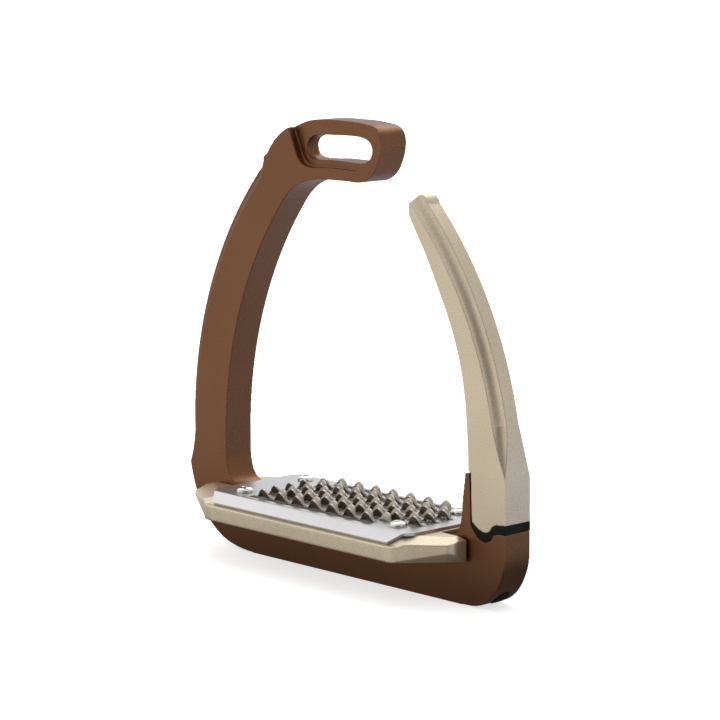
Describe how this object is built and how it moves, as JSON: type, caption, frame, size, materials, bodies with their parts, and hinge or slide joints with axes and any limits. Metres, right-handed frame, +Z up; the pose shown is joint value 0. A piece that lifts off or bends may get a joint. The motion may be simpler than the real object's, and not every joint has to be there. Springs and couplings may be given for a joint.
{
  "type": "safety stirrup iron",
  "caption": "Riding stirrup iron with a closed head for the leather, a toothed metal tread and one side arm that hinges outward on a rubber-buffered joint.",
  "frame": {"origin": "middle of the tread along X, mid-depth along Y, underside of the base at Z=0", "axes": "+X towards the release arm, -Y the front face, +Z up towards the leather slot"},
  "size_m": [0.1583, 0.0526, 0.1563],
  "materials": {
    "bronze": "bead blasted and anodised bronze brown, satin",
    "champagne": "bead blasted and anodised champagne, satin",
    "grip_steel": "brushed stainless sheet",
    "screw_steel": "polished stainless screws",
    "joint_steel": "plain turned steel",
    "rubber_black": "black elastomer"
  },
  "bodies": {
    "frame": {"main_frame": "bronze", "tread_platform": "champagne", "platform_screws": "joint_steel", "grip_plate": "grip_steel", "plate_screws": "screw_steel", "joint_gasket": "rubber_black", "hinge_link": "joint_steel", "link_washer": "joint_steel", "link_nut": "joint_steel", "anchor_plug": "rubber_black"},
    "arm": {"release_arm": "champagne", "hinge_pin": "joint_steel"}
  },
  "joints": [
    {"name": "arm_release", "type": "hinge", "parent": "frame", "child": "arm", "pos_m": [0.0703, 0, 0.0292], "axis": [0, 1, 0], "range_deg": [0, 15], "deforming": ["joint_gasket"]}
  ]
}
